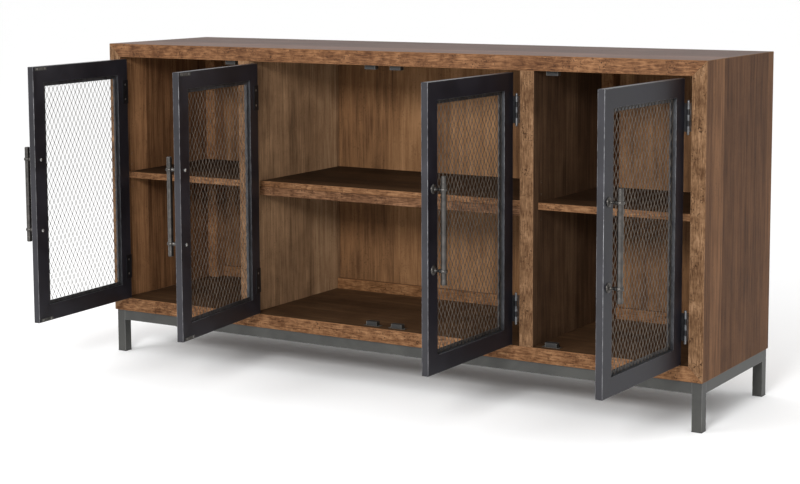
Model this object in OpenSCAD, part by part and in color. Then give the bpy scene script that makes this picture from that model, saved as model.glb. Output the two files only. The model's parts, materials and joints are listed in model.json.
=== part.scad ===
// TV stand with four hinged mesh doors: a wooden case on a low steel base.
// Origin: on the floor, under the centre of the case. +X to the right, front towards -Y, +Z up.
// All sizes in millimetres. The doors stand open at the angles given below.

/* [Case] */
// Width of the wooden case
case_w = 1829; // [1700:1:1950]
// Depth of the wooden case
case_d = 457; // [440:1:500]
// Height of the wooden case, without the base
case_h = 778; // [740:1:820]
// Thickness of the top, bottom, side and partition boards
board_t = 38; // [34:1:42]
// Distance from the centre of the case to the middle of each partition
partition_x = 437; // [430:1:444]
// Thickness of the back panels
back_t = 6; // [4:1:8]
// How far the back panels stand in from the rear edge of the case
back_recess = 6; // [2:1:10]

/* [Back frame] */
// Height of the rails along the back of each bay
back_rail_h = 32; // [20:1:40]
// Thickness of those rails
back_rail_t = 13; // [8:1:18]
// Width of the posts in the rear corners of the two side bays
post_w = 34; // [24:1:44]
// Depth of those posts
post_d = 45; // [30:1:60]

/* [Shelves] */
// Height of the centre shelf's upper face above the underside of the case
centre_shelf_top = 405; // [380:1:440]
// Thickness of the centre shelf board
centre_shelf_t = 16; // [14:1:22]
// Height of the rail under the front edge of the centre shelf
shelf_rail_h = 23; // [15:1:30]
// Depth of that rail
shelf_rail_d = 18; // [12:1:30]
// Distance from the front of the case to the front of that rail
shelf_rail_front = 42; // [24:1:60]
// Height of the side shelves' upper faces above the underside of the case
side_shelf_top = 406; // [380:1:440]
// Thickness of the side shelves
side_shelf_t = 18; // [14:1:22]
// Distance from the front of the case to the front of the side shelves
side_shelf_front = 24; // [22:1:40]
// Distance from the front of the case to the front row of peg holes
peg_front = 45; // [40:1:70]
// Distance from the front of the case to the rear row of peg holes
peg_back = 380; // [300:1:385]
// Heights of the peg holes, measured from the ones in use
peg_steps = [-32, 0, 32, 64];

/* [Base] */
// Height of the base, from the floor to the underside of the case
base_h = 124; // [90:1:160]
// Side of the square leg tube
leg_w = 27; // [22:1:32]
// Height of the base rails
rail_h = 30; // [24:1:40]
// Wall of the leg and rail tubes
tube_wall = 1.5; // [1:0.5:3]
// How far the base stands in from the sides of the case
base_in_side = 3; // [0:1:15]
// How far the base stands in from the front of the case
base_in_front = 7; // [0:1:15]
// How far the base stands in from the back of the case
base_in_back = 5; // [0:1:15]
// Visible thickness of the foot glides
glide_t = 2; // [1:1:5]

/* [Doors] */
// Width of each door
door_w = 414; // [412:1:415]
// Thickness of the door frame tube
door_t = 18; // [16:1:20]
// Width of the door frame tube, as seen from the front
stile_w = 44; // [38:1:55]
// Wall of the door frame tube
door_wall = 1.5; // [1:0.5:2]
// Gap above and below each door
door_gap = 4.5; // [3:0.5:6]
// Gap between a door and the board that it hangs on
hinge_gap = 3; // [3:0.5:4]
// Angle at which the left door stands open
left_open = 86.8; // [0:0.1:180]
// Angle at which the centre left door stands open
centre_left_open = 82.8; // [0:0.1:130]
// Angle at which the centre right door stands open
centre_right_open = 89.3; // [0:0.1:130]
// Angle at which the right door stands open
right_open = 87.8; // [0:0.1:180]

/* [Door mesh] */
// Width of one diamond of the mesh
diamond_w = 17.3; // [15:0.1:22]
// Height of one diamond of the mesh
diamond_h = 29.2; // [26:0.1:36]
// Width of a mesh strand
strand_w = 1.8; // [1.5:0.1:3]
// Thickness of the mesh
mesh_t = 1.2; // [1:0.1:2]
// Depth of the mesh behind the front face of the door
mesh_depth = 9; // [6:0.5:11]
// Width of the strips that hold the mesh
strip_w = 10; // [7:0.5:12]
// Thickness of those strips
strip_t = 3; // [2:0.5:4]

/* [Handles] */
// Length of the handle bar
bar_len = 258; // [220:1:300]
// Diameter of the handle bar
bar_dia = 14; // [10:1:15]
// Distance between the handle posts
post_gap = 192; // [128:32:224]
// Distance from the door's face to the middle of the bar
bar_out = 28.5; // [26:0.5:45]
// Distance from the door's free edge to the middle of the handle posts
handle_in = 24; // [20:1:27]

/* [Hinges and catches] */
// Height of a hinge leaf
leaf_h = 68; // [60:1:76]
// Thickness of a hinge leaf
leaf_t = 1.3; // [1:0.1:1.4]
// Depth of the leaf on the case
case_leaf_d = 26; // [22:1:30]
// How far the other leaf reaches across the rear face of the door
door_leaf_w = 22; // [16:1:26]
// Radius of the hinge barrel
barrel_r = 3.5; // [3.3:0.1:4.5]
// Distance from the front of the case to the axis of the hinge pins
pin_out = 10.5; // [9:0.5:12]
// Distance from the board that a door hangs on to the axis of its hinge pins
pin_side = 4; // [3:0.5:5]
// Distance from the top or bottom of a door to the middle of its nearer hinge
hinge_in = 93.5; // [70:0.5:120]
// Distance from a door's free edge to the middle of its catches
catch_in = 38; // [34:1:44]

/* [Hidden] */
$fn = 48;

// Colours
wood = [0.48, 0.33, 0.21];
dark_wood = [0.33, 0.23, 0.15];
base_steel = [0.27, 0.27, 0.27];
door_steel = [0.2, 0.2, 0.23];
pewter = [0.42, 0.41, 0.4];
zinc = [0.66, 0.66, 0.64];
black = [0.08, 0.08, 0.08];

// Planes of the case
front_y = -case_d / 2;
back_y = case_d / 2;
floor_z = base_h;
roof_z = base_h + case_h;
bay_low = floor_z + board_t;
bay_high = roof_z - board_t;
wall_x = case_w / 2 - board_t;
side_bay_in = partition_x + board_t / 2;
centre_bay_in = partition_x - board_t / 2;
back_panel_y = back_y - back_recess - back_t;
back_rail_y = back_panel_y - back_rail_t;
post_y = back_panel_y - post_d;
// Each bay: its left wall, its right wall, the width of its rear corner posts
BAYS = [[-wall_x, -side_bay_in, post_w], [-centre_bay_in, centre_bay_in, 0],
    [side_bay_in, wall_x, post_w]];

// Doors: local x runs from the board that the door hangs on, local y from the front of the case
door_low = bay_low + door_gap;
door_high = bay_high - door_gap;
door_h = door_high - door_low;
door_far = hinge_gap + door_w;
door_mid = (door_low + door_high) / 2;
hinge_z = [door_low + hinge_in, door_high - hinge_in];
// Each door: x of its board's face, 1 if that board is on its left or -1 if on its right, opening angle
LEFT = [-wall_x, 1, left_open];
CENTRE_LEFT = [-centre_bay_in, 1, centre_left_open];
CENTRE_RIGHT = [centre_bay_in, -1, centre_right_open];
RIGHT = [wall_x, -1, right_open];

// Hinges
knuckles = 5;
pin_r = 1.7;
bore_r = pin_r + 0.05;
barrel_clear = 0.3;
leaf_front = -pin_out + barrel_r + barrel_clear;
tab_front = -pin_out;
tip_h = 8;
leaf_screw_z = 22;
case_screw_y = 19;
door_screw_x = 12;
door_leaf_screw_z = 20.5;

// Screws and bolts
screw_r = 1.6;
screw_head_r = 3;
hole_clear = 0.05;
case_screw_len = 15;
door_screw_len = 6;
bolt_r = 2;
base_screw_r = 3;
base_screw_head_r = 6;
base_screw_head_h = 3;
base_screw_into = 20;
base_screw_x = [-700, -235, 235, 700];

// Catches and strikes
catch_y = 20;
catch_d = 16;
magnet_w = 30;
magnet_h = 11;
plate_t = 1.2;
ear_w = 9;
strike_w = 48;
strike_h = 8;
strike_t = 1.5;
strike_in = 32;
strike_screw = 16;
strike_edge = 2;

// Shelf supports
peg_r = 2.5;
sleeve_r = 3.5;
sleeve_len = 10;
support_w = 14;
support_drop = 5;
shelf_side_gap = 1.5;
support_y = [front_y + peg_front, front_y + peg_back];
peg_z = floor_z + side_shelf_top - side_shelf_t + support_drop;

// Handles
collar_r = 9.5;
collar_h = 8;
rose_r = 12;
rose_t = 3;
stem_r = 4.5;
post_bore_len = 14;

// ---- placing ----

// Puts a door's local frame at its place, with the door turned open about its hinge pins
module on_door(door) {
    translate([door[0], front_y, 0])
        mirror([door[1] > 0 ? 0 : 1, 0, 0])
            translate([pin_side, -pin_out, 0])
                rotate([0, 0, -door[2]])
                    translate([-pin_side, pin_out, 0])
                        children();
}

// The same frame with the door shut, for what is fixed to the case
module at_door(door) {
    translate([door[0], front_y, 0])
        mirror([door[1] > 0 ? 0 : 1, 0, 0])
            children();
}

module at_all_doors() {
    for (door = [LEFT, CENTRE_LEFT, CENTRE_RIGHT, RIGHT])
        at_door(door) children();
}

// A countersunk screw with its head's face at the origin, pointing along +Z
module screw(length) {
    cylinder(h = plate_t, r1 = screw_head_r, r2 = screw_r);
    cylinder(h = length, r = screw_r);
}

// The hole that this screw fills
module screw_hole(length) {
    translate([0, 0, -hole_clear])
        cylinder(h = plate_t + 2 * hole_clear, r1 = screw_head_r + 2 * hole_clear,
            r2 = screw_r + hole_clear);
    cylinder(h = length + hole_clear, r = screw_r + hole_clear);
}

// ---- case boards ----

// A board seen from the front as a trapezium with mitred ends, from the front to the back
module mitred_board(outline) {
    translate([0, back_y, 0])
        rotate([90, 0, 0])
            linear_extrude(case_d)
                polygon(outline);
}

// Screws of one door's two hinges and two catches in the boards of the case
module case_screw_places() {
    for (z = hinge_z, dz = [-leaf_screw_z, leaf_screw_z])
        translate([leaf_t, case_screw_y, z + dz])
            rotate([0, -90, 0]) children(0);
    for (side = [-1, 1]) {
        translate([door_far - catch_in + side * (magnet_w / 2 + plate_t + ear_w / 2),
                catch_y + catch_d / 2, bay_low + plate_t])
            mirror([0, 0, 1]) children(0);
        translate([door_far - catch_in + side * (magnet_w / 2 + plate_t + ear_w / 2),
                catch_y + catch_d / 2, bay_high - plate_t])
            children(0);
    }
}

module case_screw_holes() {
    at_all_doors() case_screw_places() screw_hole(case_screw_len);
}

// The holes for the pegs of the side shelves, in the walls of one side bay
module peg_holes(bay) {
    for (x = [side_bay_in, wall_x], y = support_y, step = peg_steps)
        translate([bay * x, y, peg_z + step])
            rotate([0, (x == wall_x ? 90 : -90) * bay, 0])
                translate([0, 0, -1])
                    cylinder(h = sleeve_len + 2, r = sleeve_r);
}

module top_panel() {
    color(wood)
        difference() {
            mitred_board([[-case_w / 2, roof_z], [case_w / 2, roof_z],
                [wall_x, bay_high], [-wall_x, bay_high]]);
            case_screw_holes();
        }
}

module bottom_panel() {
    color(wood)
        difference() {
            mitred_board([[-case_w / 2, floor_z], [case_w / 2, floor_z],
                [wall_x, bay_low], [-wall_x, bay_low]]);
            case_screw_holes();
            base_screw_holes();
        }
}

module side_panel(side) {
    color(wood)
        difference() {
            mitred_board([[side * case_w / 2, floor_z], [side * case_w / 2, roof_z],
                [side * wall_x, bay_high], [side * wall_x, bay_low]]);
            case_screw_holes();
            peg_holes(side);
        }
}

module partition(side) {
    color(wood)
        difference() {
            translate([side * partition_x - board_t / 2, front_y, bay_low])
                cube([board_t, case_d, bay_high - bay_low]);
            case_screw_holes();
            peg_holes(side);
        }
}

// ---- back ----

// One panel behind each bay
module back_panels() {
    color(dark_wood)
        for (bay = BAYS)
            translate([bay[0], back_panel_y, bay_low])
                cube([bay[1] - bay[0], back_t, bay_high - bay_low]);
}

// Rails along the top and bottom of the back of each bay, between the posts where there are any
module back_rails() {
    color(wood)
        for (bay = BAYS, z = [bay_low, bay_high - back_rail_h])
            translate([bay[0] + bay[2], back_rail_y, z])
                cube([bay[1] - bay[0] - 2 * bay[2], back_rail_t, back_rail_h]);
}

module back_posts() {
    color(wood)
        for (x = [-wall_x, -side_bay_in - post_w, side_bay_in, wall_x - post_w])
            translate([x, post_y, bay_low])
                cube([post_w, post_d, bay_high - bay_low]);
}

// ---- shelves ----

rail_proud = 2.5;
shelf_rail_y = front_y + shelf_rail_front;
centre_shelf_y = shelf_rail_y + rail_proud;
centre_shelf_z = floor_z + centre_shelf_top - centre_shelf_t;

module centre_shelf() {
    color(wood)
        translate([-centre_bay_in, centre_shelf_y, centre_shelf_z])
            cube([2 * centre_bay_in, back_panel_y - centre_shelf_y, centre_shelf_t]);
}

module centre_shelf_rail() {
    color(wood)
        translate([-centre_bay_in, shelf_rail_y, centre_shelf_z - shelf_rail_h])
            cube([2 * centre_bay_in, shelf_rail_d, shelf_rail_h]);
}

module side_shelf(side) {
    width = wall_x - side_bay_in - 2 * shelf_side_gap;
    depth = post_y - 2 - front_y - side_shelf_front;
    color(wood)
        translate([side * (side_bay_in + wall_x) / 2 - width / 2, front_y + side_shelf_front,
                floor_z + side_shelf_top - side_shelf_t])
            cube([width, depth, side_shelf_t]);
}

// An angle bracket on a peg, with its peg along -X and its flange under the shelf
module shelf_support() {
    plate = shelf_side_gap - 0.3;
    translate([-sleeve_len + 1, 0, 0])
        rotate([0, 90, 0])
            cylinder(h = sleeve_len - 1 + plate, r = peg_r);
    translate([0, -support_w / 2, -support_drop - plate])
        cube([plate, support_w, support_drop + plate + 8]);
    translate([0, -support_w / 2, -support_drop - plate])
        cube([support_w, support_w, plate]);
}

module shelf_supports() {
    color(zinc)
        for (bay = [-1, 1], y = support_y) {
            translate([bay * side_bay_in, y, peg_z])
                mirror([bay > 0 ? 0 : 1, 0, 0]) shelf_support();
            translate([bay * wall_x, y, peg_z])
                mirror([bay > 0 ? 1 : 0, 0, 0]) shelf_support();
        }
}

// Metal sleeves that line the peg holes
module peg_sleeves() {
    color(zinc)
        for (bay = [-1, 1], x = [side_bay_in, wall_x], y = support_y, step = peg_steps)
            translate([bay * x, y, peg_z + step])
                rotate([0, (x == wall_x ? 90 : -90) * bay, 0])
                    difference() {
                        cylinder(h = sleeve_len, r = sleeve_r);
                        translate([0, 0, -1])
                            cylinder(h = sleeve_len + 2, r = peg_r + hole_clear);
                    }
}

// ---- base ----

leg_x = case_w / 2 - base_in_side - leg_w / 2;
leg_front_y = front_y + base_in_front + leg_w / 2;
leg_back_y = back_y - base_in_back - leg_w / 2;

// A square tube standing on the XY plane
module tube(width, depth, length, wall) {
    difference() {
        translate([-width / 2, -depth / 2, 0])
            cube([width, depth, length]);
        translate([-width / 2 + wall, -depth / 2 + wall, -1])
            cube([width - 2 * wall, depth - 2 * wall, length + 2]);
    }
}

module at_legs() {
    for (x = [-leg_x, leg_x], y = [leg_front_y, leg_back_y])
        translate([x, y, 0]) children();
}

module base_legs() {
    color(base_steel)
        at_legs()
            translate([0, 0, glide_t]) tube(leg_w, leg_w, base_h - glide_t, tube_wall);
}

module base_screw_places() {
    for (x = base_screw_x, y = [leg_front_y, leg_back_y])
        translate([x, y, base_h - rail_h]) children();
}

module base_screw_holes() {
    base_screw_places()
        translate([0, 0, -1])
            cylinder(h = rail_h + base_screw_into + 1, r = base_screw_r + hole_clear);
}

module base_rails() {
    long_len = 2 * leg_x - leg_w;
    short_len = leg_back_y - leg_front_y - leg_w;
    color(base_steel)
        difference() {
            union() {
                for (y = [leg_front_y, leg_back_y])
                    translate([-long_len / 2, y, base_h - rail_h / 2])
                        rotate([0, 90, 0]) tube(rail_h, leg_w, long_len, tube_wall);
                for (x = [-leg_x, leg_x])
                    translate([x, leg_front_y + leg_w / 2, base_h - rail_h / 2])
                        rotate([-90, 0, 0]) tube(leg_w, rail_h, short_len, tube_wall);
            }
            base_screw_holes();
        }
}

module foot_glides() {
    plug_w = leg_w - 2 * tube_wall - 2 * hole_clear;
    plug_h = 12;
    color(black)
        at_legs() {
            translate([-leg_w / 2, -leg_w / 2, 0])
                cube([leg_w, leg_w, glide_t]);
            translate([-plug_w / 2, -plug_w / 2, glide_t])
                cube([plug_w, plug_w, plug_h]);
        }
}

module base_screws() {
    color(zinc)
        base_screw_places() {
            translate([0, 0, -base_screw_head_h])
                cylinder(h = base_screw_head_h, r = base_screw_head_r);
            cylinder(h = rail_h + base_screw_into - 1, r = base_screw_r);
        }
}

// ---- magnetic catches on the case ----

// Puts a catch, standing on its base, on the bottom board and under the top board of each door
module at_catches() {
    at_all_doors() {
        translate([door_far - catch_in, catch_y, bay_low]) children();
        translate([door_far - catch_in, catch_y, bay_high])
            mirror([0, 0, 1]) children();
    }
}

module catch_magnets() {
    color(black)
        at_catches()
            translate([-magnet_w / 2, 0, plate_t])
                cube([magnet_w, catch_d, magnet_h]);
}

module catch_brackets() {
    width = magnet_w + 2 * plate_t + 2 * ear_w;
    color(zinc)
        difference() {
            at_catches() {
                translate([-width / 2, 0, 0])
                    cube([width, catch_d, plate_t]);
                for (x = [-magnet_w / 2 - plate_t, magnet_w / 2])
                    translate([x, 0, 0])
                        cube([plate_t, catch_d, magnet_h + plate_t]);
            }
            case_screw_holes();
        }
}

// ---- hinges ----

// Knuckles first, first + 2, ... of a hinge barrel, each with its bore
module barrel_part(first) {
    pitch = leaf_h / knuckles;
    for (k = [first:2:knuckles - 1])
        translate([pin_side, -pin_out, -leaf_h / 2 + k * pitch + 0.1])
            cylinder(h = pitch - 0.2, r = barrel_r);
}

// The tongues that join a leaf to its knuckles
module leaf_tabs(first, x) {
    pitch = leaf_h / knuckles;
    for (k = [first:2:knuckles - 1])
        translate([x, tab_front, -leaf_h / 2 + k * pitch + 0.1])
            cube([leaf_t, leaf_front - tab_front + 1, pitch - 0.2]);
}

module hinge_bore() {
    translate([pin_side, -pin_out, -leaf_h])
        cylinder(h = 2 * leaf_h, r = bore_r);
}

module case_hinge_leaves() {
    color(zinc)
        difference() {
            at_all_doors()
                for (z = hinge_z)
                    translate([0, 0, z])
                        difference() {
                            union() {
                                translate([0, leaf_front, -leaf_h / 2])
                                    cube([leaf_t, case_leaf_d - leaf_front, leaf_h]);
                                leaf_tabs(0, 0);
                                barrel_part(0);
                            }
                            hinge_bore();
                        }
            case_screw_holes();
        }
}

// The pins, with a rounded tip at each end
module hinge_pins() {
    tip_r = barrel_r;
    color(zinc)
        at_all_doors()
            for (z = hinge_z)
                translate([pin_side, -pin_out, z]) {
                    translate([0, 0, -leaf_h / 2 - tip_h / 2])
                        cylinder(h = leaf_h + tip_h, r = pin_r);
                    for (end = [0, 1])
                        mirror([0, 0, end])
                            translate([0, 0, leaf_h / 2 + 0.1]) {
                                cylinder(h = tip_h - tip_r, r = tip_r);
                                translate([0, 0, tip_h - tip_r])
                                    intersection() {
                                        sphere(r = tip_r);
                                        translate([-tip_r, -tip_r, 0])
                                            cube(2 * tip_r);
                                    }
                            }
                }
}

module case_screws() {
    color(zinc)
        at_all_doors() case_screw_places() screw(case_screw_len);
}

// ---- doors ----

// Turned to lie in the door's plane: X along the door, Y up, extruded towards the back of the door
module door_plate(depth, thickness) {
    translate([hinge_gap, depth + thickness, door_low])
        rotate([90, 0, 0])
            linear_extrude(thickness) children();
}

// The outline of one side of a mitred frame: a trapezium on the long side of a w by h rectangle
function mitred_side(length, width) =
    [[0, 0], [length, 0], [length - width, width], [width, width]];

// Four mitred bars round a w by h rectangle, as separate outlines
module mitred_ring(w, h, width) {
    gap = 0.1;
    for (side = [0, 1]) {
        translate([side * w, side * h])
            rotate(side * 180)
                offset_trapezium(w, width, gap);
        translate([side * w, (1 - side) * h])
            rotate(side * 180 - 90)
                offset_trapezium(h, width, gap);
    }
}

// A mitred side with its slanted ends drawn in by a hair, so that neighbours stay apart
module offset_trapezium(length, width, gap) {
    polygon([[gap, 0], [length - gap, 0], [length - width - gap, width], [width + gap, width]]);
}

module door_frame(door) {
    color(door_steel)
        on_door(door)
            difference() {
                door_plate(0, door_t) mitred_ring(door_w, door_h, stile_w);
                door_plate(door_wall, door_t - 2 * door_wall)
                    difference() {
                        translate([door_wall, door_wall])
                            square([door_w - 2 * door_wall, door_h - 2 * door_wall]);
                        translate([stile_w - door_wall, stile_w - door_wall])
                            square([door_w - 2 * stile_w + 2 * door_wall,
                                door_h - 2 * stile_w + 2 * door_wall]);
                    }
                door_screw_places() screw_hole(door_screw_len);
                handle_bolt_places()
                    translate([0, 0, -1])
                        cylinder(h = door_t + 2, r = bolt_r + hole_clear);
            }
}

// Screws of the two hinges and of the strikes, in the door's rear face
module door_screw_places() {
    for (z = hinge_z, dz = [-door_leaf_screw_z, door_leaf_screw_z])
        translate([hinge_gap + door_screw_x, door_t + leaf_t, z + dz])
            rotate([90, 0, 0]) children();
    for (z = [door_low + strike_edge + strike_h / 2, door_high - strike_edge - strike_h / 2],
            dx = [-strike_screw, strike_screw])
        translate([door_far - strike_in + dx, door_t + strike_t, z])
            rotate([90, 0, 0]) children();
}

// The two handle bolts, from the door's rear face towards its front
module handle_bolt_places() {
    for (dz = [-post_gap / 2, post_gap / 2])
        translate([door_far - handle_in, door_t, door_mid + dz])
            rotate([90, 0, 0]) children();
}

// Expanded mesh: a sheet with staggered diamond openings
module door_mesh(door) {
    w = door_w - 2 * stile_w - 0.4;
    h = door_h - 2 * stile_w - 0.4;
    border = 8;
    half_w = diamond_w / 2;
    half_h = diamond_h / 2;
    strand_mid = half_w * half_h / sqrt(half_w * half_w + half_h * half_h);
    open = (strand_mid - strand_w / 2) / strand_mid;
    columns = ceil(w / diamond_w);
    rows = ceil(h / diamond_h);
    color(pewter)
        on_door(door)
            door_plate(mesh_depth, mesh_t)
                translate([stile_w + 0.2, stile_w + 0.2])
                    difference() {
                        square([w, h]);
                        intersection() {
                            translate([border, border])
                                square([w - 2 * border, h - 2 * border]);
                            for (i = [0:columns], j = [0:rows], shift = [0, 1])
                                translate([(i + shift / 2) * diamond_w, (j + shift / 2) * diamond_h])
                                    polygon([[half_w * open, 0], [0, half_h * open],
                                        [-half_w * open, 0], [0, -half_h * open]]);
                        }
                    }
}

// The strips behind the mesh, mitred at the corners
module door_strips(door) {
    color(door_steel)
        on_door(door)
            door_plate(mesh_depth + mesh_t, strip_t)
                translate([stile_w, stile_w])
                    mitred_ring(door_w - 2 * stile_w, door_h - 2 * stile_w, strip_w);
}

module handle_bar(door) {
    end_r = 1.5;
    radius = bar_dia / 2;
    color(pewter)
        on_door(door)
            translate([door_far - handle_in, -bar_out, door_mid - bar_len / 2])
                rotate_extrude()
                    polygon([[0, 0], [radius - end_r, 0], [radius, end_r],
                        [radius, bar_len - end_r], [radius - end_r, bar_len], [0, bar_len]]);
}

// A post: a round rose on the door, a stem, and a collar round the bar
module handle_posts(door) {
    color(pewter)
        on_door(door)
            for (dz = [-post_gap / 2, post_gap / 2])
                translate([door_far - handle_in, 0, door_mid + dz])
                    difference() {
                        union() {
                            rotate([90, 0, 0])
                                rotate_extrude()
                                    polygon([[0, 0], [rose_r, 0], [rose_r, rose_t / 2],
                                        [rose_r - 2, rose_t], [stem_r + 1, rose_t + 1],
                                        [stem_r, rose_t + 3], [stem_r, bar_out], [0, bar_out]]);
                            translate([0, -bar_out, -collar_h / 2])
                                cylinder(h = collar_h, r = collar_r);
                        }
                        translate([0, -bar_out, -collar_h])
                            cylinder(h = 2 * collar_h, r = bar_dia / 2 + hole_clear);
                        rotate([90, 0, 0])
                            translate([0, 0, -1])
                                cylinder(h = post_bore_len + 1, r = bolt_r + hole_clear);
                    }
}

module handle_bolts(door) {
    head_r = 4.5;
    head_h = 3;
    color(zinc)
        on_door(door)
            handle_bolt_places() {
                cylinder(h = door_t + post_bore_len - 1, r = bolt_r);
                translate([0, 0, -head_h])
                    rotate_extrude()
                        polygon([[0, 0], [head_r - 2, 0], [head_r, 1.5], [head_r, head_h],
                            [0, head_h]]);
            }
}

module door_hinge_leaves(door) {
    color(zinc)
        on_door(door)
            difference() {
                for (z = hinge_z)
                    translate([0, 0, z])
                        difference() {
                            union() {
                                translate([hinge_gap - leaf_t, leaf_front, -leaf_h / 2])
                                    cube([leaf_t, door_t + leaf_t - leaf_front, leaf_h]);
                                translate([hinge_gap - leaf_t, door_t, -leaf_h / 2])
                                    cube([door_leaf_w + leaf_t, leaf_t, leaf_h]);
                                leaf_tabs(1, hinge_gap - leaf_t);
                                barrel_part(1);
                            }
                            hinge_bore();
                        }
                door_screw_places() screw_hole(door_screw_len);
            }
}

module door_strikes(door) {
    color(zinc)
        on_door(door)
            difference() {
                for (z = [door_low + strike_edge, door_high - strike_edge - strike_h])
                    translate([door_far - strike_in - strike_w / 2, door_t, z])
                        cube([strike_w, strike_t, strike_h]);
                door_screw_places() screw_hole(door_screw_len);
            }
}

module door_screws(door) {
    color(zinc)
        on_door(door)
            door_screw_places() screw(door_screw_len);
}

// ---- nodes ----

top_panel();
bottom_panel();
side_panel(-1);  // left_side_panel
side_panel(1);  // right_side_panel
partition(-1);  // left_partition
partition(1);  // right_partition
back_panels();
back_rails();
back_posts();
centre_shelf();
centre_shelf_rail();
side_shelf(-1);  // left_shelf
side_shelf(1);  // right_shelf
shelf_supports();
peg_sleeves();
base_legs();
base_rails();
foot_glides();
base_screws();
catch_magnets();
catch_brackets();
case_hinge_leaves();
hinge_pins();
case_screws();

door_frame(LEFT);  // left_door_frame
door_mesh(LEFT);  // left_door_mesh
door_strips(LEFT);  // left_door_strips
handle_bar(LEFT);  // left_door_handle_bar
handle_posts(LEFT);  // left_door_handle_posts
handle_bolts(LEFT);  // left_door_handle_bolts
door_hinge_leaves(LEFT);  // left_door_hinge_leaves
door_strikes(LEFT);  // left_door_strikes
door_screws(LEFT);  // left_door_screws

door_frame(CENTRE_LEFT);  // centre_left_door_frame
door_mesh(CENTRE_LEFT);  // centre_left_door_mesh
door_strips(CENTRE_LEFT);  // centre_left_door_strips
handle_bar(CENTRE_LEFT);  // centre_left_door_handle_bar
handle_posts(CENTRE_LEFT);  // centre_left_door_handle_posts
handle_bolts(CENTRE_LEFT);  // centre_left_door_handle_bolts
door_hinge_leaves(CENTRE_LEFT);  // centre_left_door_hinge_leaves
door_strikes(CENTRE_LEFT);  // centre_left_door_strikes
door_screws(CENTRE_LEFT);  // centre_left_door_screws

door_frame(CENTRE_RIGHT);  // centre_right_door_frame
door_mesh(CENTRE_RIGHT);  // centre_right_door_mesh
door_strips(CENTRE_RIGHT);  // centre_right_door_strips
handle_bar(CENTRE_RIGHT);  // centre_right_door_handle_bar
handle_posts(CENTRE_RIGHT);  // centre_right_door_handle_posts
handle_bolts(CENTRE_RIGHT);  // centre_right_door_handle_bolts
door_hinge_leaves(CENTRE_RIGHT);  // centre_right_door_hinge_leaves
door_strikes(CENTRE_RIGHT);  // centre_right_door_strikes
door_screws(CENTRE_RIGHT);  // centre_right_door_screws

door_frame(RIGHT);  // right_door_frame
door_mesh(RIGHT);  // right_door_mesh
door_strips(RIGHT);  // right_door_strips
handle_bar(RIGHT);  // right_door_handle_bar
handle_posts(RIGHT);  // right_door_handle_posts
handle_bolts(RIGHT);  // right_door_handle_bolts
door_hinge_leaves(RIGHT);  // right_door_hinge_leaves
door_strikes(RIGHT);  // right_door_strikes
door_screws(RIGHT);  // right_door_screws
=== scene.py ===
import json
import math

import bmesh
import bpy
from mathutils import Matrix, Vector


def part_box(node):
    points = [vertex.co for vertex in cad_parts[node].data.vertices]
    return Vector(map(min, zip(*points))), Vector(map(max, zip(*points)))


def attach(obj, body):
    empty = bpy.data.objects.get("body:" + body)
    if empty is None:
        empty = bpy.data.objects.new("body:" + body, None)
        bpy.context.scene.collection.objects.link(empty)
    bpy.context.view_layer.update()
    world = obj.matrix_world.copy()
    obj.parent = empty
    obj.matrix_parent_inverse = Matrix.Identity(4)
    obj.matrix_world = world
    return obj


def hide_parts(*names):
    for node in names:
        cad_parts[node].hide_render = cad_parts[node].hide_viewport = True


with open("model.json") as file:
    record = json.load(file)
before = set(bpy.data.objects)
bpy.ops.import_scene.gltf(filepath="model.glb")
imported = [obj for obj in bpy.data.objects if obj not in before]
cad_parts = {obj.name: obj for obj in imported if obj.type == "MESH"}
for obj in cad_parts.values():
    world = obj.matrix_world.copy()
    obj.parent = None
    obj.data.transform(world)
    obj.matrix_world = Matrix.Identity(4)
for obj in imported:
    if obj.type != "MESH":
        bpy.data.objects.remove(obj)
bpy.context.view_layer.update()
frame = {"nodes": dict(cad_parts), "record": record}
scene = bpy.context.scene
NODES = frame["nodes"]
JOINTS = {j["child"]: j for j in frame["record"]["behaviour"]["joints"]}
MM = 0.001


# ---------------------------------------------------------------- materials

def lin(c):
    """An sRGB colour in 0 to 255 as linear RGBA."""
    out = []
    for v in (x / 255 for x in c):
        out.append(v / 12.92 if v <= 0.04045 else ((v + 0.055) / 1.055) ** 2.4)
    return (*out, 1.0)


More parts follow.
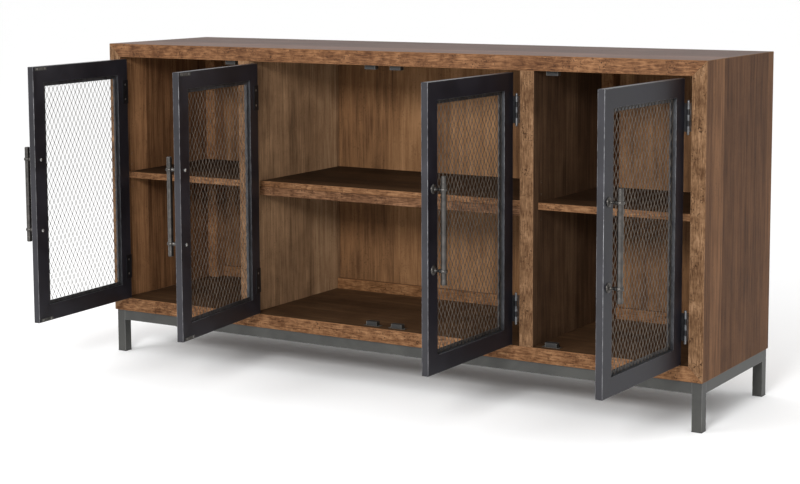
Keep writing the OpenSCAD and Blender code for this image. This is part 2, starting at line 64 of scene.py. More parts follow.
class Mat:
    """A material and short names for its nodes."""

    def __init__(self, name):
        self.m = bpy.data.materials.new(name)
        self.m.use_nodes = True
        self.t = self.m.node_tree
        self.t.nodes.clear()
        out = self.t.nodes.new("ShaderNodeOutputMaterial")
        self.bsdf = self.t.nodes.new("ShaderNodeBsdfPrincipled")
        self.t.links.new(self.bsdf.outputs[0], out.inputs[0])
        tc = self.t.nodes.new("ShaderNodeTexCoord")
        self.p = tc.outputs["Object"]

    def put(self, socket, value):
        if isinstance(value, bpy.types.NodeSocket):
            self.t.links.new(value, socket)
        else:
            socket.default_value = value

    def math(self, op, a, b=0.0, c=0.0):
        n = self.t.nodes.new("ShaderNodeMath")
        n.operation = op
        for i, v in enumerate((a, b, c)):
            self.put(n.inputs[i], v)
        return n.outputs[0]

    def scale(self, vec, s, add=(0, 0, 0)):
        """vec times s plus add, which may be a socket."""
        n = self.t.nodes.new("ShaderNodeVectorMath")
        n.operation = "MULTIPLY_ADD"
        self.put(n.inputs[0], vec)
        n.inputs[1].default_value = s
        if isinstance(add, bpy.types.NodeSocket):
            self.t.links.new(add, n.inputs[2])
        else:
            n.inputs[2].default_value = add
        return n.outputs[0]

    def noise(self, vec, detail=2.0, rough=0.5, distort=0.0):
        """Noise about 0.5, one patch to a unit of vec."""
        n = self.t.nodes.new("ShaderNodeTexNoise")
        self.put(n.inputs["Vector"], vec)
        n.inputs["Scale"].default_value = 1.0
        n.inputs["Detail"].default_value = detail
        n.inputs["Roughness"].default_value = rough
        n.inputs["Distortion"].default_value = distort
        return n.outputs["Fac"]

    def xyz(self, vec):
        n = self.t.nodes.new("ShaderNodeSeparateXYZ")
        self.put(n.inputs[0], vec)
        return n.outputs

    def vec(self, x, y, z):
        n = self.t.nodes.new("ShaderNodeCombineXYZ")
        for i, v in enumerate((x, y, z)):
            self.put(n.inputs[i], v)
        return n.outputs[0]

    def random(self, w):
        """A steady value from 0 to 1 for each value of w."""
        n = self.t.nodes.new("ShaderNodeTexWhiteNoise")
        n.noise_dimensions = "1D"
        self.put(n.inputs["W"], w)
        return n.outputs["Value"]

    def span(self, v, lo, hi, a=0.0, b=1.0, smooth=True):
        """Maps v from lo..hi to a..b."""
        n = self.t.nodes.new("ShaderNodeMapRange")
        n.interpolation_type = "SMOOTHSTEP" if smooth else "LINEAR"
        self.put(n.inputs[0], v)
        for i, x in enumerate((lo, hi, a, b)):
            n.inputs[i + 1].default_value = x
        return n.outputs[0]

    def ramp(self, fac, stops):
        n = self.t.nodes.new("ShaderNodeValToRGB")
        self.put(n.inputs[0], fac)
        e = n.color_ramp.elements
        while len(e) < len(stops):
            e.new(0.5)
        for i, (pos, colour) in enumerate(stops):
            e[i].position = pos
            e[i].color = colour
        return n.outputs[0]

    def mix(self, fac, a, b):
        n = self.t.nodes.new("ShaderNodeMix")
        n.data_type = "RGBA"
        self.put(n.inputs[0], fac)
        self.put(n.inputs[6], a)
        self.put(n.inputs[7], b)
        return n.outputs[2]

    def bump(self, height, strength, distance):
        """Relief on the surface; distance is its depth in metres where height is 1."""
        n = self.t.nodes.new("ShaderNodeBump")
        n.inputs["Strength"].default_value = strength
        n.inputs["Distance"].default_value = distance
        self.put(n.inputs["Height"], height)
        self.t.links.new(n.outputs[0], self.bsdf.inputs["Normal"])

    def finish(self, colour, rough, metallic=0.0, specular=0.5):
        self.put(self.bsdf.inputs["Base Color"], colour)
        self.put(self.bsdf.inputs["Roughness"], rough)
        self.bsdf.inputs["Metallic"].default_value = metallic
        self.bsdf.inputs["Specular IOR Level"].default_value = specular
        return self.m


def normal_part(k, axis):
    """The part of the surface normal along a row axis, from -1 to 1."""
    n = k.t.nodes.new("ShaderNodeNewGeometry")
    return k.xyz(n.outputs["Normal"])[axis]


# where a wood's dark, middle and light colours sit on its pattern
FACE_STOPS = (0.34, 0.50, 0.68)
EDGE_STOPS = (0.40, 0.51, 0.63)
# dark marks on wood, and what shows where paint is rubbed away
DENT = (42, 27, 17)
PORE = (38, 25, 16)
HAIRLINE = (40, 26, 17)
BARE_STEEL = (150, 150, 152)
# arbitrary places in the random patterns: of the first strip, and of a strip's second number
STRIP_OFFSET, SECOND_OFFSET = 37.3, 91.7


def wood(name, along, across, strip, face, edge, seed, figure=0.0, worn=0.0, inner=None,
         cloud=0.3, gloss=0.04):
    """Stained veneer laid in strips. along and across are axes 0 to 2, strip is a width in metres.
    face, edge and inner are (dark, middle, light) colours for the faces, the front edge and, on an
    outer wall, the face that looks into the case. Without edge the front is veneer too.
    figure is the strength of the long swirls, cloud that of the blotches, worn that of rubbed
    patches in the edge's light colour, and gloss the specular level."""
    k = Mat(name)
    c = k.xyz(k.p)
    lane = k.math("MULTIPLY_ADD", c[across], 1 / strip, STRIP_OFFSET + seed)
    lane_id = k.math("FLOOR", lane)
    tone = k.random(lane_id)
    tone2 = k.random(k.math("ADD", lane_id, SECOND_OFFSET))
    # each strip is cut from another place in the pattern
    jump = k.vec(k.math("MULTIPLY", tone, 7.1), k.math("MULTIPLY", tone2, 5.3), seed)

    def grain(lengthwise, crosswise):
        """Coordinates with so many patches to a metre along the grain and across it."""
        s = [crosswise] * 3
        s[along] = lengthwise
        return k.scale(k.p, s, jump)

    def ramp(fac, stops, colours):
        return k.ramp(fac, [(stop, lin(c)) for stop, c in zip(stops, colours)])

    # the veneer: shares of streaks, fibres, fine lines and blotches, and a tone for each strip
    streak = k.noise(grain(3.0, 42.0), 4.0, 0.6, 0.8)
    fibre = k.noise(grain(16.0, 330.0), 3.0, 0.65, 0.3)
    pore = k.noise(grain(50.0, 1300.0), 2.0, 0.5)
    blotch = k.noise(k.scale(k.p, (9, 9, 9), (seed, 3.1, 1.7)), 4.0, 0.6, 0.4)
    swirl = k.noise(grain(2.2, 11.0), 3.0, 0.5, 1.3)
    line = k.noise(grain(5.0, 160.0), 3.0, 0.6, 0.2)
    value = k.math("MULTIPLY_ADD", streak, 0.34, k.math("MULTIPLY", fibre, 0.18))
    value = k.math("MULTIPLY_ADD", line, 0.52 - cloud, value)
    value = k.math("MULTIPLY_ADD", blotch, cloud, value)
    value = k.math("MULTIPLY_ADD", tone, 0.16, k.math("SUBTRACT", value, 0.10))
    if figure:
        value = k.math("MULTIPLY_ADD", k.math("SUBTRACT", swirl, 0.5), figure, value)
    face_colour = ramp(value, FACE_STOPS, face)
    if inner:
        inner_colour = ramp(value, FACE_STOPS, inner)
        inward = k.span(k.math("MULTIPLY", c[0], normal_part(k, 0)), 0.1, -0.1)
        face_colour = k.mix(inward, face_colour, inner_colour)
    # the front edge is mottled along the grain and has small dark dents
    fleck = k.noise(grain(34.0, 300.0), 4.0, 0.7, 0.4)
    mottle = k.noise(k.scale(k.p, (38, 38, 38), (seed, 1.1, 0)), 4.0, 0.65, 0.6)
    ev = k.math("MULTIPLY_ADD", fleck, 0.52, k.math("MULTIPLY", mottle, 0.30))
    ev = k.math("MULTIPLY_ADD", blotch, 0.20, ev)
    front = k.math("MULTIPLY", k.span(normal_part(k, 1), -0.5, -0.8), 1.0 if edge else 0.0)
    edge = edge or face
    edge_colour = ramp(ev, EDGE_STOPS, edge)
    colour = k.mix(front, face_colour, edge_colour)
    dents = k.noise(k.scale(k.p, (230, 230, 230), (0, seed, 0)), 2.0, 0.6)
    patches = k.noise(k.scale(k.p, (22, 22, 22), (seed, 0, 5)), 2.0, 0.5)
    dent = k.math("MULTIPLY", k.span(dents, 0.57, 0.67), k.span(patches, 0.42, 0.60))
    dent = k.math("MULTIPLY", dent, k.span(front, 0, 1, 0.35, 0.9, False))
    colour = k.mix(dent, colour, lin(DENT))
    colour = k.mix(k.span(pore, 0.62, 0.72, 0, 0.35), colour, lin(PORE))
    # a hairline between strips, on the faces only
    off = k.math("PINGPONG", lane, 0.5)
    joint = k.math("MULTIPLY", k.span(off, 0.0, 0.012, 1, 0), k.math("SUBTRACT", 1.0, front))
    colour = k.mix(k.math("MULTIPLY", joint, 0.25), colour, lin(HAIRLINE))
    if worn:
        rub = k.span(k.noise(k.scale(k.p, (70, 70, 70), (0, 0, seed)), 4.0, 0.7), 0.35, 0.62)
        colour = k.mix(k.math("MULTIPLY", rub, worn), colour, lin(edge[2]))
    rough = k.math("MULTIPLY_ADD", fibre, 0.20, 0.42)
    height = k.math("SUBTRACT", k.math("MULTIPLY", fibre, 0.5), k.math("MULTIPLY", dent, 0.9))
    height = k.math("SUBTRACT", height, k.math("MULTIPLY", joint, 0.6))
    k.bump(height, 0.35, 0.0006)
    return k.finish(colour, rough, specular=gloss)


def paint(name, base, light, rough, metallic=0.0, specular=0.5, scratch=0.0, seed=0.0):
    """Satin paint on steel, a little cloudy, with fine orange peel; scratch shows bare metal."""
    k = Mat(name)
    cloud = k.noise(k.scale(k.p, (11, 11, 11), (seed, 0, 0)), 4.0, 0.6, 0.6)
    fine = k.noise(k.scale(k.p, (240, 240, 240), (0, seed, 0)), 3.0, 0.6)
    colour = k.mix(k.span(cloud, 0.3, 0.7), lin(base), lin(light))
    if scratch:
        rub = k.noise(k.scale(k.p, (130, 130, 40), (seed, 0, 0)), 4.0, 0.75)
        rub = k.math("MULTIPLY", k.span(rub, 0.40, 0.60), scratch)
        colour = k.mix(rub, colour, lin(BARE_STEEL))
    r = k.math("MULTIPLY_ADD", cloud, 0.16, rough - 0.08)
    r = k.math("MULTIPLY_ADD", fine, 0.06, r)
    k.bump(fine, 0.12, 0.0003)
    return k.finish(colour, r, metallic, specular)


def metal(name, base, light, rough, metallic=0.9, seed=0.0, brush=None):
    """Bare or plated metal with faint streaks and tarnish."""
    k = Mat(name)
    tarnish = k.noise(k.scale(k.p, (60, 60, 60), (seed, 0, 0)), 4.0, 0.65)
    streaks = k.noise(k.scale(k.p, brush or (900, 900, 60), (0, seed, 0)), 2.0, 0.5)
    colour = k.mix(k.span(tarnish, 0.3, 0.7), lin(base), lin(light))
    r = k.math("MULTIPLY_ADD", tarnish, 0.2, rough - 0.1)
    r = k.math("MULTIPLY_ADD", streaks, 0.10, r)
    k.bump(streaks, 0.08, 0.0002)
    return k.finish(colour, r, metallic)


# stains, as (dark, middle, light) in sRGB. Some of them stand in for the light in the photograph:
# the two partitions differ, and so do the two faces of a side board.
OUTSIDE = ((60, 39, 25), (90, 62, 42), (122, 88, 61))
INSIDE = ((70, 46, 30), (112, 79, 53), (156, 114, 79))
BACK = ((88, 62, 42), (124, 90, 61), (156, 118, 83))
GREY = ((100, 77, 57), (147, 115, 86), (192, 158, 122))
GREY_DARK = ((52, 38, 28), (82, 61, 45), (112, 88, 66))
TOP = ((62, 43, 35), (88, 64, 53), (114, 86, 73))
EDGE = ((70, 48, 32), (106, 79, 56), (140, 109, 82))
EDGE_TOP = ((62, 37, 21), (98, 66, 42), (132, 95, 65))
EDGE_LOW = ((66, 41, 25), (104, 73, 49), (138, 103, 73))
# the centre shelf's front rail: partly its own darker tone, partly painted shade, so that its dark
# arrises stand for the shadowed line between rail and shelf
NOSING = ((52, 34, 22), (88, 61, 42), (122, 90, 66))
WARM = ((84, 55, 33), (120, 84, 55), (152, 112, 77))
# the shelves' wood, painted much darker as shade: the boards above keep the light off the shelf
# tops
SHELF = ((30, 20, 13), (48, 33, 22), (70, 50, 34))
FLOOR = ((50, 34, 22), (75, 54, 37), (104, 78, 54))
# widths of the strips in metres
PLANK, SIDE_STRIP, PARTITION_STRIP, BACK_STRIP, TRIM_STRIP = 0.115, 0.076, 0.068, 0.190, 0.090
M = {}  # every material by its short name
M["top"] = wood("wood_top", 0, 1, PLANK, TOP, EDGE_TOP, 1.3, cloud=0.2, gloss=0.11)
M["bottom"] = wood("wood_bottom", 0, 1, PLANK, FLOOR, EDGE_LOW, 4.1)
M["side"] = wood("wood_side", 2, 1, SIDE_STRIP, OUTSIDE, EDGE, 2.2, inner=INSIDE, cloud=0.16)
M["partition"] = wood("wood_partition", 2, 1, PARTITION_STRIP, GREY, EDGE, 3.7, 0.25, cloud=0.24)
M["partition_dark"] = wood("wood_partition_dark", 2, 1, PARTITION_STRIP, GREY_DARK, EDGE, 6.3,
                           0.2, cloud=0.22)
M["back"] = wood("wood_back", 2, 0, BACK_STRIP, BACK, None, 5.9, 0.35, cloud=0.2)
M["shelf"] = wood("wood_shelf_painted_shade", 0, 1, PLANK, SHELF, EDGE_LOW, 7.7)
M["nosing"] = wood("wood_nosing", 0, 1, PLANK, NOSING, NOSING, 5.1)
M["trim"] = wood("wood_trim", 0, 2, TRIM_STRIP, WARM, WARM, 8.4)
M["post"] = wood("wood_post", 2, 0, TRIM_STRIP, WARM, WARM, 9.6)
M["arris_x"] = wood("wood_arris_x", 0, 1, PLANK, EDGE, EDGE_TOP, 1.9, worn=0.45)
M["arris_z"] = wood("wood_arris_z", 2, 1, PLANK, EDGE, EDGE, 2.9, worn=0.45)
M["door"] = paint("door_paint", (19, 18, 24), (28, 27, 34), 0.38, 0.25, 0.26)
M["door_back"] = paint("door_paint_rear", (21, 20, 25), (32, 31, 37), 0.38, 0.2)
M["door_arris"] = paint("door_arris", (66, 66, 70), (98, 98, 102), 0.34, 0.7, scratch=0.7)
M["door_soft"] = paint("door_arris_soft", (40, 40, 44), (58, 58, 62), 0.36, 0.5, scratch=0.25)
# the walls of each door's opening are lighter than the paint: a painted reflection of the front
# light, with a few scratches to bare steel
M["reveal"] = paint("door_reveal_painted_sheen", (44, 45, 48), (62, 63, 66), 0.34, 0.6, scratch=0.08, seed=3.0)
M["strip"] = paint("mesh_strip", (40, 40, 42), (58, 58, 60), 0.40, 0.6, scratch=0.10, seed=5.0)
M["base"] = paint("base_paint", (52, 52, 50), (64, 64, 61), 0.45, 0.3)
M["base_arris"] = paint("base_arris", (74, 74, 72), (94, 94, 91), 0.40, 0.5, scratch=0.15)
# expanded metal: dark steel tinted brown, the tint a painted reflection of the warm wood inside
# the case
M["mesh"] = metal("mesh_steel", (62, 56, 51), (96, 88, 80), 0.42, 0.7)
M["pewter"] = metal("handle_pewter", (64, 62, 60), (84, 81, 78), 0.27, 0.9, brush=(300, 300, 40))
M["hinge"] = metal("hinge_steel", (88, 88, 90), (120, 120, 122), 0.32, 0.9)
# the door leaves are near black: painted shade for the deep shadow in the gap between a door's
# edge and its hinge barrel
M["leaf"] = metal("door_leaf_painted_shade", (14, 14, 16), (24, 24, 27), 0.42, 0.4)
M["plate"] = metal("plate_steel", (76, 75, 72), (112, 111, 107), 0.42, 0.85, 4.0)
M["zinc"] = metal("zinc_plate", (130, 129, 126), (180, 179, 176), 0.30, 0.9)
M["ferrite"] = paint("catch_block", (24, 23, 22), (38, 36, 34), 0.6)
M["nylon"] = paint("foot_nylon", (18, 18, 18), (28, 28, 28), 0.55)


# ---------------------------------------------------------------- geometry

BOARD_BEVEL, PANEL_BEVEL, STEEL_BEVEL = 1.2 * MM, 0.4 * MM, 1.4 * MM
WORN_BEVEL, SOFT_BEVEL = 1.1 * MM, 0.8 * MM
TURN_STEPS = 40


def add_mesh(name, bm, mats, body, nodes, matrix=None, smooth=True):
    """Makes one visual piece that rides on a body in place of CAD nodes. mats are keys of M."""
    me = bpy.data.meshes.new(name)
    bmesh.ops.recalc_face_normals(bm, faces=bm.faces)
    if smooth:
        for f in bm.faces:
            f.smooth = True
    bm.to_mesh(me)
    bm.free()
    for m in mats:
        me.materials.append(M[m])
    o = bpy.data.objects.new(name, me)
    bpy.context.collection.objects.link(o)
    if matrix is not None:
        o.matrix_world = matrix
    if smooth:
        w = o.modifiers.new("even", "WEIGHTED_NORMAL")
        w.weight = 90
        w.keep_sharp = False
    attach(o, body)
    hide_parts(*nodes)


def prism(bm, outline, y0, y1, bevel):
    """A solid with this outline in XZ, from y0 to y1; its bevels take the second material."""
    a = [bm.verts.new((x, y0, z)) for x, z in outline]
    b = [bm.verts.new((x, y1, z)) for x, z in outline]
    n = len(outline)
    faces = [bm.faces.new(a), bm.faces.new(b[::-1])]
    for i in range(n):
        faces.append(bm.faces.new((a[i], b[i], b[(i + 1) % n], a[(i + 1) % n])))
    edges = list({e for f in faces for e in f.edges})
    bmesh.ops.bevel(bm, geom=edges, offset=bevel, segments=2, profile=0.6,
                    affect="EDGES", material=1, clamp_overlap=True)


def rect(x0, z0, x1, z1):
    return [(x0, z0), (x1, z0), (x1, z1), (x0, z1)]


def box_piece(name, boxes, mats, node, bevel=BOARD_BEVEL):
    """Bevelled boxes, as (low corner, high corner), that stand for one node of the case."""
    bm = bmesh.new()
    for lo, hi in boxes:
        prism(bm, rect(lo[0], lo[2], hi[0], hi[2]), lo[1], hi[1], bevel)
    add_mesh(name, bm, mats, "case", [node])


def lathe(bm, profile, matrix):
    """Turns (radius, height) points about Z, then places them by the matrix. A radius of 0 is a
    pole, at the end of a profile only."""
    rings = []
    for r, h in profile:
        ring = []
        for i in range(TURN_STEPS if r else 1):
            angle = 2 * math.pi * i / TURN_STEPS
            point = Vector((r * math.cos(angle), r * math.sin(angle), h))
            ring.append(bm.verts.new(matrix @ point))
        rings.append(ring)
    for p, q in zip(rings, rings[1:]):
        for i in range(TURN_STEPS):
            j = (i + 1) % TURN_STEPS
            if len(p) == 1:
                bm.faces.new((p[0], q[j], q[i]))
            elif len(q) == 1:
                bm.faces.new((p[i], p[j], q[0]))
            else:
                bm.faces.new((p[i], p[j], q[j], q[i]))


def node_box(n):
    lo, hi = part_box(n)
    return tuple(lo), tuple(hi)


# ---------------------------------------------------------------- case

SHELF_GAP = 1.5 * MM
BACK_RAIL_H, BACK_POST_W, TUBE_W = 32 * MM, 34 * MM, 27 * MM

# the outer boards meet in mitres, from the case's corners to the corners of its inside
(cx0, cy0, _), (cx1, cy1, case_top) = node_box("top_panel")
case_bottom = node_box("bottom_panel")[0][2]
inner_x = node_box("right_shelf")[1][0] + SHELF_GAP
(_, _, low), (_, _, roof) = node_box("right_partition")
outer = rect(cx0, case_bottom, cx1, case_top)
inside = rect(-inner_x, low, inner_x, roof)
for name, a, b, mats in (
    ("top_panel", 3, 2, ("top", "arris_x")),
    ("bottom_panel", 0, 1, ("bottom", "arris_x")),
    ("left_side_panel", 0, 3, ("side", "arris_z")),
    ("right_side_panel", 1, 2, ("side", "arris_z")),
):
    bm = bmesh.new()
    prism(bm, [outer[a], outer[b], inside[b], inside[a]], cy0, cy1, BOARD_BEVEL)
    add_mesh(name + "_board", bm, mats, "case", [name])

for name, mats in (
    ("left_partition", ("partition", "arris_z")),
    ("right_partition", ("partition_dark", "arris_z")),
    ("left_shelf", ("shelf", "arris_x")),
    ("right_shelf", ("shelf", "arris_x")),
    ("centre_shelf", ("shelf", "arris_x")),
):
    box_piece(name + "_board", [node_box(name)], mats, name)
box_piece("centre_shelf_nosing", [node_box("centre_shelf_rail")], ("nosing", "nosing"),
          "centre_shelf_rail")

# back: a panel in each bay, with rails along its bottom and top and posts in the side bays
(bx0, by0, bz0), (bx1, by1, bz1) = node_box("back_panels")
part_l, part_r = node_box("left_partition"), node_box("right_partition")
bays = [(bx0, part_l[0][0]), (part_l[1][0], part_r[0][0]), (part_r[1][0], bx1)]
box_piece("back_panel_boards", [((a, by0, bz0), (b, by1, bz1)) for a, b in bays],
          ("back", "back"), "back_panels", PANEL_BEVEL)
(_, ry0, rz0), (_, ry1, rz1) = node_box("back_rails")
(_, py0, _), (_, py1, _) = node_box("back_posts")
rails, posts = [], []
for (a, b), w in zip(bays, (BACK_POST_W, 0, BACK_POST_W)):
    for z in (rz0, rz1 - BACK_RAIL_H):
        rails.append(((a + w, ry0, z), (b - w, ry1, z + BACK_RAIL_H)))
    if w:
        posts.append(((a, py0, rz0), (a + w, py1, rz1)))
        posts.append(((b - w, py0, rz0), (b, py1, rz1)))
box_piece("back_rail_boards", rails, ("trim", "trim"), "back_rails")
box_piece("back_post_boards", posts, ("post", "post"), "back_posts")

# base: four legs, with the rails between them
(lx0, ly0, lz0), (lx1, ly1, lz1) = node_box("base_legs")
legs = [((x, y, lz0), (x + TUBE_W, y + TUBE_W, lz1))
        for x in (lx0, lx1 - TUBE_W) for y in (ly0, ly1 - TUBE_W)]
box_piece("base_leg_tubes", legs, ("base", "base_arris"), "base_legs", STEEL_BEVEL)
(lx0, ly0, lz0), (lx1, ly1, lz1) = node_box("base_rails")
rails = [((lx0 + TUBE_W, y, lz0), (lx1 - TUBE_W, y + TUBE_W, lz1)) for y in (ly0, ly1 - TUBE_W)]
rails += [((x, ly0 + TUBE_W, lz0), (x + TUBE_W, ly1 - TUBE_W, lz1)) for x in (lx0, lx1 - TUBE_W)]
box_piece("base_rail_tubes", rails, ("base", "base_arris"), "base_rails",
          STEEL_BEVEL)

# ---------------------------------------------------------------- doors

# Each door is drawn in a local frame: Y runs backwards from the shut door's front face, and X from
# the board it hangs on. Widths are measured towards the free edge, and sign turns them into X.
DOOR_W, DOOR_T, STILE, GAP = 414 * MM, 18 * MM, 44 * MM, 3 * MM
PIN_SIDE, PIN_OUT = 4 * MM, 10.5 * MM
MITRE_GAP = 0.12 * MM  # a hairline at each mitre, on either tube
# expanded metal: cells, strands, and where two strands are bonded
CELL_W, CELL_H = 17.3 * MM, 29.2 * MM
STRAND_HALF_W, STRAND_HALF_T, STRAND_TILT = 0.62 * MM, 0.35 * MM, math.radians(14)
BOND_HALF_H, BOND_SHIFT = 1.3 * MM, 0.95 * MM
MESH_Y, MESH_INSET = 9.1 * MM, 0.2 * MM
# handle; profiles are (radius, distance) in mm, from the door's face for a post, and from the
# middle of the ring around the bar for a collar
HANDLE_IN, BAR_OUT, BAR_LEN, BAR_R, POST_GAP = 24 * MM, 28.5 * MM, 258 * MM, 7 * MM, 192 * MM
POST_PROFILE = [(11.8, 0), (11.9, 0.7), (11.6, 1.6), (10.7, 2.7), (9.0, 3.7), (6.8, 4.5),
                (4.9, 5.2), (3.9, 6.4), (3.4, 8), (3.4, 12), (3.7, 15), (4.4, 17.4), (5.2, 19.1),
                (5.4, 20.2), (5.2, 21.3), (4.6, 22.4), (4.6, 25)]
COLLAR_PROFILE = [(7.0, -3.9), (8.0, -3.9), (8.6, -3.4), (8.9, -2.6), (9.4, -1.6), (9.5, 0),
                  (9.4, 1.6), (8.9, 2.6), (8.6, 3.4), (8.0, 3.9), (7.0, 3.9)]
# the bar's end, as (depth below the radius, distance from the tip) in mm: a groove and a dome
BAR_END = [(0, 15), (0.5, 14.4), (0.5, 13.4), (0, 12.8), (0, 1.8), (0.6, 0.6), (1.8, 0)]


def door_place(body):
    """Which way the door runs from its pin along X, and its local frame at the rest angle."""
    j = JOINTS[body]
    sign = -j["axis"][2]
    pin = Vector((j["pos_m"][0], j["pos_m"][1], 0))
    turn = math.radians(-j["range_deg"][0]) * j["axis"][2]
    local_pin = Vector((sign * PIN_SIDE, -PIN_OUT, 0))
    to_pin = Matrix.Translation(-local_pin)
    return sign, Matrix.Translation(pin) @ Matrix.Rotation(turn, 4, "Z") @ to_pin


def tube(bm, outline, free):
    """One mitred side of a door frame. Its long edges are rounded and its mitres stay sharp.
    Materials: 0 front, 1 worn arris, 2 rear and outer wall, 3 wall of the opening, 4 other
    arrises."""
    a = [bm.verts.new((x, 0, z)) for x, z in outline]
    b = [bm.verts.new((x, DOOR_T, z)) for x, z in outline]
    bm.faces.new(a)
    bm.faces.new(b[::-1]).material_index = 2
    for i in range(4):
        j = (i + 1) % 4
        bm.faces.new((a[i], b[i], b[j], a[j])).material_index = (2, 0, 3, 0)[i]
    for i, j, m in ((0, 1, 1 if free else 4), (2, 3, 4)):
        edges = [bm.edges.get((a[i], a[j])), bm.edges.get((b[i], b[j]))]
        bmesh.ops.bevel(bm, geom=edges, offset=WORN_BEVEL if m == 1 else SOFT_BEVEL, segments=2,
                        profile=0.6, affect="EDGES", material=m, clamp_overlap=True)


def mesh_strands(bm, sign, x0, z0, x1, z1):
    """Expanded metal: zigzag strands that meet in staggered bonds, each one tilted out of the
    plane and cut off at the edges of the opening."""
    half_w, half_h = CELL_W / 2, CELL_H / 2
    columns = int((x1 - x0) / half_w) + 1
    rows = int((z1 - z0) / half_h) + 2
    cos, sin = math.cos(STRAND_TILT), math.sin(STRAND_TILT)
    wide, thin = STRAND_HALF_W, STRAND_HALF_T
    corners = [(u * cos - v * sin, u * sin + v * cos)
               for u, v in ((-wide, -thin), (wide, -thin), (wide, thin), (-wide, thin))]
    reach = x1 + half_w * 1.2  # a bond further out than this is left off
    for i in range(-1, columns + 1):
        run = []
        for j in range(rows):
            side = (i + j) % 2
            x = x0 + (i + side) * half_w + BOND_SHIFT * (-1 if side else 1)
            if x > reach:
                continue
            # a strand runs straight along each bond
            for dz in (-BOND_HALF_H, BOND_HALF_H):
                z = min(max(z0 + j * half_h + dz, z0), z1)
                run.append((min(max(x, x0), x1), z))
        if len(run) < 2:
            continue
        rings = []
        for x, z in run:
            rings.append([bm.verts.new((sign * min(max(x + dx, x0), x1), MESH_Y + dy, z))
                          for dx, dy in corners])
        for p, q in zip(rings, rings[1:]):
            # rings beyond the opening's bottom or top have been moved onto each other
            if abs(p[0].co.z - q[0].co.z) < 1e-7:
                continue
            for a in range(4):
                b = (a + 1) % 4
                bm.faces.new((p[a], p[b], q[b], q[a]))


def frame_outlines(x0, z0, x1, z1):
    """The four mitred tubes, each as an outer edge and an inner one: bottom, top, hinge stile and
    free stile. The last value says whether it is the free stile."""
    ix0, iz0, ix1, iz1 = x0 + STILE, z0 + STILE, x1 - STILE, z1 - STILE
    g = MITRE_GAP
    return (
        ([(x0 + g, z0), (x1 - g, z0), (ix1 - g, iz0), (ix0 + g, iz0)], False),
        ([(x0 + g, z1), (x1 - g, z1), (ix1 - g, iz1), (ix0 + g, iz1)], False),
        ([(x0, z0 + g), (x0, z1 - g), (ix0, iz1 - g), (ix0, iz0 + g)], False),
        ([(x1, z0 + g), (x1, z1 - g), (ix1, iz1 - g), (ix1, iz0 + g)], True),
    )


for body in sorted(JOINTS):
    sign, place = door_place(body)
    (_, _, z0), (_, _, z1) = node_box(body + "_frame")
    x0, x1 = GAP, GAP + DOOR_W
    bm = bmesh.new()
    for outline, free in frame_outlines(x0, z0, x1, z1):
        tube(bm, [(sign * x, z) for x, z in outline], free)
    add_mesh(body + "_frame_tubes", bm, ("door", "door_arris", "door_back", "reveal", "door_soft"),
             body, [body + "_frame"], place)

    bm = bmesh.new()
    border = STILE + MESH_INSET
    mesh_strands(bm, sign, x0 + border, z0 + border, x1 - border, z1 - border)
    add_mesh(body + "_expanded_metal", bm, ("mesh",), body, [body + "_mesh"], place,
             smooth=False)

    # handle: a bar with grooved, domed ends, and two turned posts with roses and ring collars
    bar_x = sign * (x1 - HANDLE_IN)
    mid_z = (z0 + z1) / 2
    bm = bmesh.new()
    half = [(BAR_R - a * MM, BAR_LEN / 2 - b * MM) for a, b in BAR_END]
    half = [(BAR_R, 0)] + half + [(0, BAR_LEN / 2)]
    profile = [(a, -b) for a, b in reversed(half)] + half[1:]
    lathe(bm, profile, Matrix.Translation((bar_x, -BAR_OUT, mid_z)))
    add_mesh(body + "_bar", bm, ("pewter",), body, [body + "_handle_bar"], place)
    bm = bmesh.new()
    forward = Matrix.Rotation(math.radians(90), 4, "X")
    for z in (mid_z - POST_GAP / 2, mid_z + POST_GAP / 2):
        for points, at in (
            (POST_PROFILE, Matrix.Translation((bar_x, 0, z)) @ forward),
            (COLLAR_PROFILE, Matrix.Translation((bar_x, -BAR_OUT, z))),
        ):
            lathe(bm, [(a * MM, b * MM) for a, b in points], at)
    add_mesh(body + "_posts", bm, ("pewter",), body, [body + "_handle_posts"], place)

# ---------------------------------------------------------------- the CAD pieces that stay

# the first ending that fits a node's name gives its material
ENDINGS = (
    ("_strips", "strip"),
    ("_screws", "zinc"),
    ("_bolts", "zinc"),
    ("peg_sleeves", "zinc"),
    ("shelf_supports", "zinc"),
    ("_strikes", "plate"),
    ("catch_brackets", "plate"),
    ("_door_hinge_leaves", "leaf"),
    ("hinge_leaves", "hinge"),
    ("hinge_pins", "hinge"),
    ("catch_magnets", "ferrite"),
    ("foot_glides", "nylon"),
)
for name, o in NODES.items():
    if o.hide_render:
        continue
    key = next(key for ending, key in ENDINGS if name.endswith(ending))
    o.data.materials.clear()
    o.data.materials.append(M[key])

# ---------------------------------------------------------------- stage, light and camera

FLOOR_R = 60
FLOOR_TONES = (0.95, 0.95, 0.95, 1), (0.97, 0.97, 0.97, 1)
WORLD_STRENGTH = 1.04

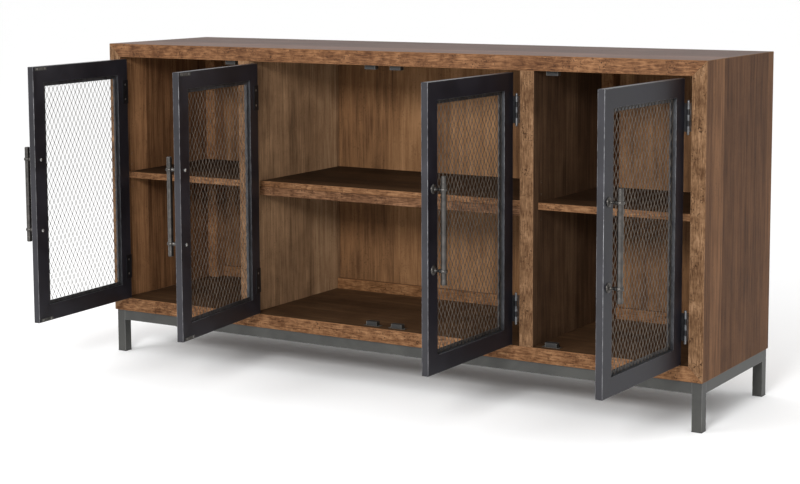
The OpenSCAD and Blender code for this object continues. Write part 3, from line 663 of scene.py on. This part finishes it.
bm = bmesh.new()
bmesh.ops.create_circle(bm, cap_ends=True, radius=FLOOR_R, segments=96)
me = bpy.data.meshes.new("floor")
bm.to_mesh(me)
bm.free()
floor = bpy.data.objects.new("floor", me)
bpy.context.collection.objects.link(floor)
k = Mat("floor_white")
speck = k.noise(k.scale(k.p, (3, 3, 3)), 2.0, 0.5)
me.materials.append(k.finish(k.mix(speck, *FLOOR_TONES), 0.9, specular=0.1))

world = bpy.data.worlds.new("studio")
scene.world = world
world.use_nodes = True
bg = world.node_tree.nodes["Background"]
bg.inputs[0].default_value = (1, 1, 1, 1)
bg.inputs[1].default_value = WORLD_STRENGTH


def softbox(name, at, to, size, power):
    """A soft rectangular light at one point, turned to another; metres and watts."""
    light = bpy.data.lights.new(name, "AREA")
    light.shape = "RECTANGLE"
    light.size, light.size_y = size
    light.energy = power
    o = bpy.data.objects.new(name, light)
    o.location = at
    o.rotation_euler = (Vector(to) - Vector(at)).to_track_quat("-Z", "Y").to_euler()
    bpy.context.collection.objects.link(o)


softbox("key", (1.25, -4.3, 2.1), (0, 0, 0.45), (1.2, 0.8), 150)
softbox("side", (-3.0, -4.2, 3.4), (0, 0, 0.4), (2.6, 2.0), 75)

# the camera that fits the photograph: its place in metres, its turn in radians, and its lens in mm
CAMERA_AT = (2.48642, -4.20442, 1.15324)
yaw, pitch, roll = 0.546987, 0.1143326, -0.0041388
cam = bpy.data.cameras.new("camera")
cam.sensor_width = 36
cam.lens = 80.5149
cam.shift_y = -0.1025
cam.clip_end = 200
f0 = Vector((-math.sin(yaw), math.cos(yaw), 0))
right = Vector((math.cos(yaw), math.sin(yaw), 0))
up0 = Vector((0, 0, 1))
fwd = f0 * math.cos(pitch) - up0 * math.sin(pitch)
up = up0 * math.cos(pitch) + f0 * math.sin(pitch)
r2 = right * math.cos(roll) + up * math.sin(roll)
u2 = up * math.cos(roll) - right * math.sin(roll)
rot = Matrix((r2, u2, -fwd)).transposed().to_4x4()
camera = bpy.data.objects.new("camera", cam)
camera.matrix_world = Matrix.Translation(CAMERA_AT) @ rot
bpy.context.collection.objects.link(camera)
scene.camera = camera
scene.view_settings.view_transform = "Standard"
